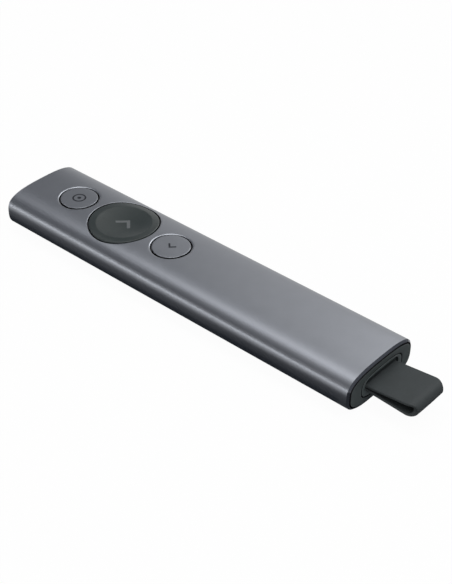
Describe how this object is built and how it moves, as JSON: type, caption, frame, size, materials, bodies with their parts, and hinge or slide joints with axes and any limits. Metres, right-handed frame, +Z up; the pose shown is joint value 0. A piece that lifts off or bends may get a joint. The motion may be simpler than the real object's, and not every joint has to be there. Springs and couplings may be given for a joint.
{
  "type": "wireless presentation clicker",
  "caption": "Slim crowned metal presenter with push keys on top and a USB receiver stored in its rear end, pulled out by a folded tab.",
  "frame": {"origin": "middle of the flat sole under the body, halfway along the body and the body's middle line", "axes": "+Y along the body to its pointing end, +Z up through the keys, +X to the right of someone who points it; the receiver pulls out along -Y"},
  "size_m": [0.028, 0.1469, 0.0121],
  "materials": {
    "anodised_shell": "slate grey anodised, fine bead blast",
    "anodised_keys": "slate grey anodised, fine bead blast",
    "soft_key": "soft-touch dark grey",
    "end_plastic": "fine-textured dark grey",
    "tab_silicone": "matte dark grey silicone",
    "frame_plastic": "black glass-filled nylon",
    "key_plastic": "black acetal",
    "board_laminate": "green solder mask over glass laminate",
    "plated_steel": "nickel-plated steel",
    "contact_gold": "gold flash",
    "insulator": "black moulded insulator",
    "spring_steel": "bare stainless",
    "screw_steel": "black zinc",
    "switch_body": "black nylon",
    "plunger_plastic": "ivory nylon",
    "pouch_foil": "satin laminated foil",
    "adhesive": "milky double-sided tape",
    "foam": "open-cell foam",
    "connector_white": "natural nylon",
    "lead_red": "red insulation",
    "lead_black": "black insulation",
    "motor_steel": "drawn steel",
    "boot_rubber": "black silicone boot",
    "weight_alloy": "sintered heavy alloy",
    "shield_steel": "tin-plated sheet",
    "chip_black": "moulded epoxy",
    "ceramic": "white ceramic",
    "led_resin": "clear resin",
    "clear_acrylic": "clear acrylic"
  },
  "bodies": {
    "presenter": {"sleeve": "anodised_shell", "rear_cap": "end_plastic", "front_cap": "end_plastic", "status_light_pipe": "clear_acrylic", "chassis": "frame_plastic", "key_deck": "key_plastic", "main_board": "board_laminate", "board_screws": "screw_steel", "pointer_switch": "switch_body", "next_switch": "switch_body", "back_switch": "switch_body", "pointer_dome": "spring_steel", "next_dome": "spring_steel", "back_dome": "spring_steel", "receiver_bay": "frame_plastic", "bay_screws": "screw_steel", "usb_port_shell": "plated_steel", "usb_port_tongue": "insulator", "battery": "pouch_foil", "battery_tape": "adhesive", "battery_foam": "foam", "battery_plug": "connector_white", "battery_lead_positive": "lead_red", "battery_lead_negative": "lead_black", "motor_can": "motor_steel", "motor_boot": "boot_rubber", "motor_contacts": "spring_steel", "shield_can": "shield_steel", "board_chips": "chip_black", "antenna": "ceramic", "status_led": "led_resin"},
    "receiver": {"receiver_body": "end_plastic", "receiver_plug_shell": "plated_steel", "receiver_tongue": "insulator", "receiver_contacts": "contact_gold", "receiver_tab": "tab_silicone"},
    "pointer_button": {"pointer_cap": "anodised_keys", "pointer_key": "key_plastic", "pointer_plunger": "plunger_plastic"},
    "next_button": {"next_cap": "soft_key", "next_key": "key_plastic", "next_plunger": "plunger_plastic"},
    "back_button": {"back_cap": "anodised_keys", "back_key": "key_plastic", "back_plunger": "plunger_plastic"},
    "motor_rotor": {"motor_shaft": "motor_steel", "motor_weight": "weight_alloy"}
  },
  "joints": [
    {"name": "receiver_slide", "type": "slide", "parent": "presenter", "child": "receiver", "axis": [0, -1, 0], "range_m": [0, 0.045]},
    {"name": "pointer_press", "type": "slide", "parent": "presenter", "child": "pointer_button", "axis": [0, 0, -1], "range_m": [0, 0.0003], "stiffness_N_per_m": 2000, "deforming": ["pointer_dome"]},
    {"name": "next_press", "type": "slide", "parent": "presenter", "child": "next_button", "axis": [0, 0, -1], "range_m": [0, 0.0003], "stiffness_N_per_m": 2000, "deforming": ["next_dome"]},
    {"name": "back_press", "type": "slide", "parent": "presenter", "child": "back_button", "axis": [0, 0, -1], "range_m": [0, 0.0003], "stiffness_N_per_m": 2000, "deforming": ["back_dome"]},
    {"name": "motor_spin", "type": "hinge", "parent": "presenter", "child": "motor_rotor", "pos_m": [0.0075, -0.00965, 0.00735], "axis": [0, 1, 0], "continuous": true}
  ]
}
